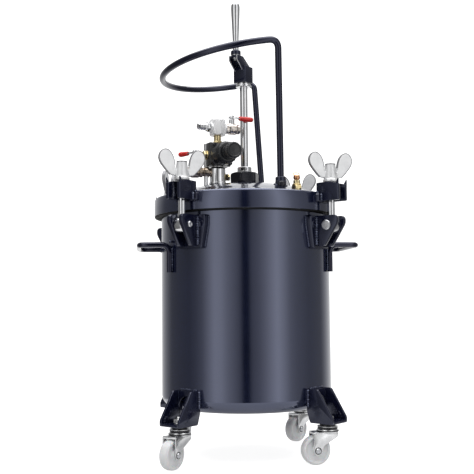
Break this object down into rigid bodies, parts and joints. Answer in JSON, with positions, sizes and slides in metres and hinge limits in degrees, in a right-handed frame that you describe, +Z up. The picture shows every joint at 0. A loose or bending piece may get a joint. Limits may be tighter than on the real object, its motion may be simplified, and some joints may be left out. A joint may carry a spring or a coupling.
{
  "type": "resin pressure pot",
  "caption": "Steel pressure tank on casters with a clamped lid, swing bolts and wing nuts, hand-cranked agitator, air regulator and a carrying loop.",
  "frame": {"origin": "floor level under the centre of the tank", "axes": "+Z up, -Y front, side handles along X"},
  "size_m": [0.3628, 0.3084, 0.7538],
  "materials": {
    "navy_paint": "gloss navy paint",
    "zinc_pin": "zinc plated",
    "gasket_rubber": "black rubber",
    "black_metal": "black finish",
    "fitting_chrome": "bright chrome",
    "brass": "machined brass",
    "zinc_cast": "satin cast",
    "black_plastic": "black moulded",
    "red_vinyl": "red dipped sleeve",
    "bolt_chrome": "plated steel",
    "cast_nut": "satin cast steel",
    "caster_chrome": "bright plated",
    "grey_nylon": "light grey nylon"
  },
  "bodies": {
    "tank": {"tank_shell": "navy_paint", "clamp_clevis_fl": "navy_paint", "clamp_clevis_fr": "navy_paint", "clamp_clevis_rl": "navy_paint", "clamp_clevis_rr": "navy_paint", "clevis_pin_fl": "zinc_pin", "clevis_pin_fr": "zinc_pin", "clevis_pin_rl": "zinc_pin", "clevis_pin_rr": "zinc_pin", "leg_bracket_fl": "navy_paint", "leg_bracket_fr": "navy_paint", "leg_bracket_rl": "navy_paint", "leg_bracket_rr": "navy_paint", "side_handle_left": "navy_paint", "side_handle_right": "navy_paint"},
    "lid": {"lid": "navy_paint", "lid_gasket": "gasket_rubber", "lid_lug_fl": "navy_paint", "lid_lug_fr": "navy_paint", "lid_lug_rl": "navy_paint", "lid_lug_rr": "navy_paint", "ring_handle": "navy_paint", "handle_foot_front": "navy_paint", "handle_foot_rear": "navy_paint", "gland_nut": "black_metal", "manifold": "fitting_chrome", "outlet_valve_body": "brass", "regulator_body": "zinc_cast", "regulator_bonnet": "black_plastic", "air_tee": "fitting_chrome", "hose_barb": "fitting_chrome", "inlet_valve_body": "fitting_chrome", "safety_valve": "brass"},
    "agitator": {"agitator_shaft": "fitting_chrome", "shaft_collar": "fitting_chrome", "impeller": "fitting_chrome", "crank_arm": "navy_paint"},
    "grip": {"crank_grip": "fitting_chrome"},
    "inlet_lever": {"inlet_valve_lever": "red_vinyl"},
    "outlet_lever": {"outlet_valve_lever": "red_vinyl"},
    "regulator_knob": {"regulator_knob": "black_plastic"},
    "relief_ring": {"safety_valve_ring": "brass"},
    "bolt_fl": {"swing_bolt_fl": "bolt_chrome"},
    "nut_fl": {"wing_nut_fl": "cast_nut"},
    "caster_fl": {"caster_fork_fl": "caster_chrome"},
    "wheel_fl": {"caster_wheel_fl": "grey_nylon"},
    "bolt_fr": {"swing_bolt_fr": "bolt_chrome"},
    "nut_fr": {"wing_nut_fr": "cast_nut"},
    "caster_fr": {"caster_fork_fr": "caster_chrome"},
    "wheel_fr": {"caster_wheel_fr": "grey_nylon"},
    "bolt_rl": {"swing_bolt_rl": "bolt_chrome"},
    "nut_rl": {"wing_nut_rl": "cast_nut"},
    "caster_rl": {"caster_fork_rl": "caster_chrome"},
    "wheel_rl": {"caster_wheel_rl": "grey_nylon"},
    "bolt_rr": {"swing_bolt_rr": "bolt_chrome"},
    "nut_rr": {"wing_nut_rr": "cast_nut"},
    "caster_rr": {"caster_fork_rr": "caster_chrome"},
    "wheel_rr": {"caster_wheel_rr": "grey_nylon"}
  },
  "joints": [
    {"name": "lid_lift", "type": "slide", "parent": "tank", "child": "lid", "axis": [0, 0, 1], "range_m": [0, 0.32]},
    {"name": "agitator_turn", "type": "hinge", "parent": "lid", "child": "agitator", "pos_m": [0, 0, 0.45], "axis": [0, 0, 1], "continuous": true},
    {"name": "grip_turn", "type": "hinge", "parent": "agitator", "child": "grip", "pos_m": [-0.015, -0.01609, 0.7], "axis": [0, 0, 1], "continuous": true},
    {"name": "inlet_lever_turn", "type": "hinge", "parent": "lid", "child": "inlet_lever", "pos_m": [-0.0239, -0.02461, 0.5545], "axis": [0, 0, 1], "range_deg": [-90, 0]},
    {"name": "outlet_lever_turn", "type": "hinge", "parent": "lid", "child": "outlet_lever", "pos_m": [-0.0868, -0.034, 0.4935], "axis": [0, 0, 1], "range_deg": [0, 90]},
    {"name": "regulator_turn", "type": "hinge", "parent": "lid", "child": "regulator_knob", "pos_m": [-0.049, -0.034, 0.489], "axis": [0.3502, -0.9367, 0], "range_deg": [-180, 180]},
    {"name": "relief_pull", "type": "slide", "parent": "lid", "child": "relief_ring", "axis": [0, 0, 1], "range_m": [0, 0.004], "stiffness_N_per_m": 1000},
    {"name": "bolt_swing_fl", "type": "hinge", "parent": "tank", "child": "bolt_fl", "pos_m": [-0.11279, -0.1218, 0.3666], "axis": [-0.7337, 0.6794, 0], "range_deg": [-100, 0]},
    {"name": "nut_slide_fl", "type": "slide", "parent": "bolt_fl", "child": "nut_fl", "axis": [0, 0, 1], "range_m": [0, 0.32]},
    {"name": "caster_swivel_fl", "type": "hinge", "parent": "tank", "child": "caster_fl", "pos_m": [-0.11683, -0.10932, 0.05], "axis": [0, 0, 1], "continuous": true},
    {"name": "wheel_roll_fl", "type": "hinge", "parent": "caster_fl", "child": "wheel_fl", "pos_m": [-0.12968, -0.12465, 0.0225], "axis": [0.766, -0.6428, 0], "continuous": true},
    {"name": "bolt_swing_fr", "type": "hinge", "parent": "tank", "child": "bolt_fr", "pos_m": [0.1218, -0.11279, 0.3666], "axis": [-0.6794, -0.7337, 0], "range_deg": [-100, 0]},
    {"name": "nut_slide_fr", "type": "slide", "parent": "bolt_fr", "child": "nut_fr", "axis": [0, 0, 1], "range_m": [0, 0.32]},
    {"name": "caster_swivel_fr", "type": "hinge", "parent": "tank", "child": "caster_fr", "pos_m": [0.10932, -0.11683, 0.05], "axis": [0, 0, 1], "continuous": true},
    {"name": "wheel_roll_fr", "type": "hinge", "parent": "caster_fr", "child": "wheel_fr", "pos_m": [0.0895, -0.11944, 0.0225], "axis": [0.1305, -0.9914, 0], "continuous": true},
    {"name": "bolt_swing_rl", "type": "hinge", "parent": "tank", "child": "bolt_rl", "pos_m": [-0.1218, 0.11279, 0.3666], "axis": [0.6794, 0.7337, 0], "range_deg": [-100, 0]},
    {"name": "nut_slide_rl", "type": "slide", "parent": "bolt_rl", "child": "nut_rl", "axis": [0, 0, 1], "range_m": [0, 0.32]},
    {"name": "caster_swivel_rl", "type": "hinge", "parent": "tank", "child": "caster_rl", "pos_m": [-0.10932, 0.11683, 0.05], "axis": [0, 0, 1], "continuous": true},
    {"name": "wheel_roll_rl", "type": "hinge", "parent": "caster_rl", "child": "wheel_rl", "pos_m": [-0.09932, 0.13415, 0.0225], "axis": [-0.866, 0.5, 0], "continuous": true},
    {"name": "bolt_swing_rr", "type": "hinge", "parent": "tank", "child": "bolt_rr", "pos_m": [0.11279, 0.1218, 0.3666], "axis": [0.7337, -0.6794, 0], "range_deg": [-100, 0]},
    {"name": "nut_slide_rr", "type": "slide", "parent": "bolt_rr", "child": "nut_rr", "axis": [0, 0, 1], "range_m": [0, 0.32]},
    {"name": "caster_swivel_rr", "type": "hinge", "parent": "tank", "child": "caster_rr", "pos_m": [0.11683, 0.10932, 0.05], "axis": [0, 0, 1], "continuous": true},
    {"name": "wheel_roll_rr", "type": "hinge", "parent": "caster_rr", "child": "wheel_rr", "pos_m": [0.10107, 0.09701, 0.0225], "axis": [0.6157, -0.788, 0], "continuous": true}
  ],
  "couplings": [
    {"joint": "nut_slide_fl", "follows": "lid_lift", "ratio": 1},
    {"joint": "nut_slide_fr", "follows": "lid_lift", "ratio": 1},
    {"joint": "nut_slide_rl", "follows": "lid_lift", "ratio": 1},
    {"joint": "nut_slide_rr", "follows": "lid_lift", "ratio": 1}
  ]
}
